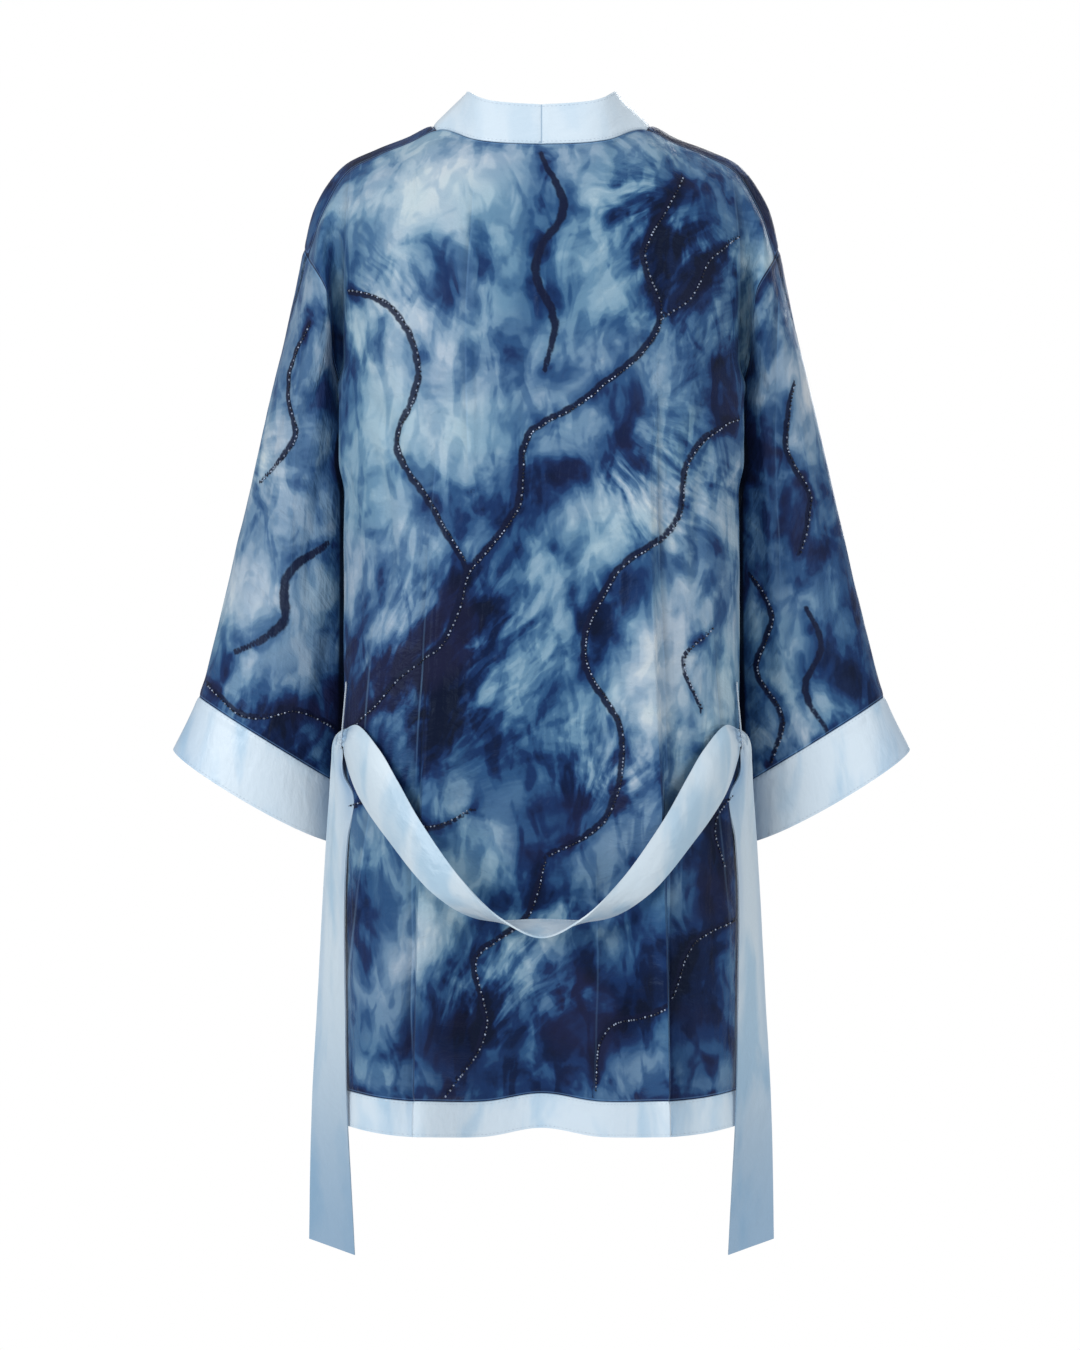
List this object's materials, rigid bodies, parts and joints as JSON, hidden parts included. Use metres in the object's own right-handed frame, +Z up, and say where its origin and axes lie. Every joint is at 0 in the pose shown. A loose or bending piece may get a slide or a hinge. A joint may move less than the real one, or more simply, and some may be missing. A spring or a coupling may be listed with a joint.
{
  "type": "kimono robe",
  "caption": "Open silk kimono robe with wide sleeves, light satin bands and a tie belt in its side loops, filled out as worn.",
  "frame": {"origin": "on the wearer's neck axis, level with the neck points where the shoulder seams start", "axes": "+Z up, +Y towards the open front, +X towards the wearer's right, which is right in a view from behind"},
  "size_m": [0.6716, 0.2725, 1.0363],
  "materials": {
    "dyed_silk": "soft sheen, indigo tie-dye",
    "light_satin": "pale blue satin",
    "loop_thread": "twisted thread"
  },
  "bodies": {
    "root": {"back": "dyed_silk", "front_left": "dyed_silk", "front_right": "dyed_silk", "sleeve_left": "dyed_silk", "sleeve_right": "dyed_silk", "cuff_left": "light_satin", "cuff_right": "light_satin", "collar_left": "light_satin", "collar_right": "light_satin", "hem_band_back": "light_satin", "hem_band_front_left": "light_satin", "hem_band_front_right": "light_satin", "belt": "light_satin", "belt_loop_left": "loop_thread", "belt_loop_right": "loop_thread"}
  },
  "joints": []
}
